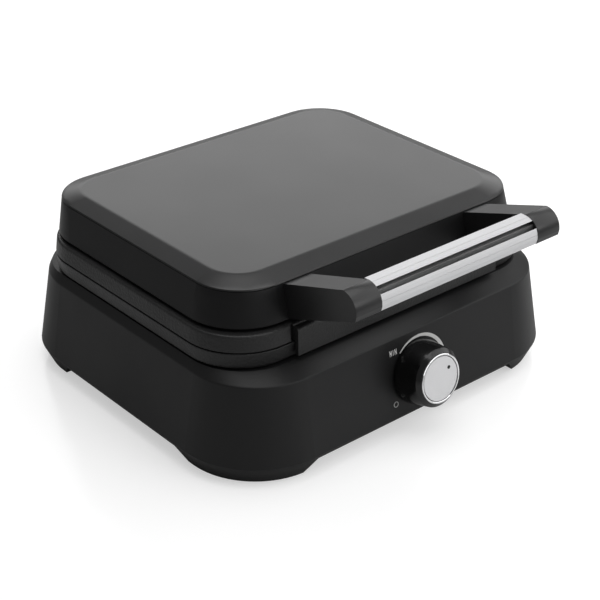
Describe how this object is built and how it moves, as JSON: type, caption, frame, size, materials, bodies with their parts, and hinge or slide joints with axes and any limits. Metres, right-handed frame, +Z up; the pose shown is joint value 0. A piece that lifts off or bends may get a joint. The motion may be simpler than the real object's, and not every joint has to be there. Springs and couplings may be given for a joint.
{
  "type": "waffle maker",
  "caption": "Countertop waffle maker with a hinged lid, cast gridded plates, a brushed bar handle across the front and a rotary heat knob.",
  "frame": {"origin": "on the table, under the middle of the closed object's bounding box", "axes": "+X to the right seen from the front, +Y to the back (hinge side), +Z up; the handle and knob face -Y"},
  "size_m": [0.3, 0.2964, 0.1384],
  "materials": {
    "housing_plastic": "black, fine satin grain",
    "cover_plastic": "black, matte",
    "pad_rubber": "black soft rubber",
    "screw_steel": "zinc plated",
    "nonstick_cast": "cast aluminium with a black non-stick coat",
    "bare_steel": "plain steel",
    "element_sheath": "heat-tinted sheath",
    "shield_sheet": "mill finish sheet",
    "thermostat_case": "pale ceramic-like",
    "sensor_brass": "copper-coloured bulb",
    "fuse_case": "plain",
    "terminal_plastic": "off-white",
    "gland_rubber": "black",
    "print_white": "printed ink",
    "lid_plastic": "black, satin",
    "top_plastic": "black, smooth",
    "arm_plastic": "black, satin",
    "core_steel": "plain bar",
    "brushed_sleeve": "brushed lengthwise",
    "hinge_plastic": "black, satin",
    "knob_plastic": "black",
    "knob_chrome": "polished ring",
    "knob_satin": "satin disc",
    "pointer_black": "black dot"
  },
  "bodies": {
    "base": {"base_housing": "housing_plastic", "bottom_cover": "cover_plastic", "foot_pads": "pad_rubber", "cover_screws": "screw_steel", "lower_plate": "nonstick_cast", "lower_plate_spacers": "bare_steel", "lower_plate_screws": "screw_steel", "lower_element": "element_sheath", "lower_heat_shield": "shield_sheet", "lower_shield_screw": "screw_steel", "thermostat_body": "thermostat_case", "thermostat_nut": "bare_steel", "thermostat_sensor": "sensor_brass", "thermal_fuse": "fuse_case", "terminal_block": "terminal_plastic", "cord_gland": "gland_rubber", "dial_markings": "print_white", "hinge_pins": "bare_steel", "hinge_bracket_left": "hinge_plastic", "hinge_bracket_right": "hinge_plastic", "hinge_bracket_screws": "screw_steel"},
    "lid": {"lid_ring": "lid_plastic", "lid_top_cover": "top_plastic", "lid_screws": "screw_steel", "upper_plate": "nonstick_cast", "upper_plate_spacers": "bare_steel", "upper_plate_screws": "screw_steel", "upper_element": "element_sheath", "upper_heat_shield": "shield_sheet", "upper_shield_screw": "screw_steel", "handle_arm_left": "arm_plastic", "handle_arm_right": "arm_plastic", "handle_core": "core_steel", "handle_sleeve": "brushed_sleeve", "handle_screws": "screw_steel", "hinge_arm_left": "hinge_plastic", "hinge_arm_right": "hinge_plastic", "hinge_screws": "screw_steel"},
    "knob": {"control_knob": "knob_plastic", "knob_trim_ring": "knob_chrome", "knob_disc": "knob_satin", "knob_pointer": "pointer_black", "thermostat_shaft": "bare_steel"}
  },
  "joints": [
    {"name": "lid_hinge", "type": "hinge", "parent": "base", "child": "lid", "pos_m": [0, 0.13465, 0.0852], "axis": [-1, 0, 0], "range_deg": [0, 100]},
    {"name": "knob_turn", "type": "hinge", "parent": "base", "child": "knob", "pos_m": [0, -0.11367, 0.0388], "axis": [0, -0.986, 0.1668], "range_deg": [-73, 185]}
  ]
}
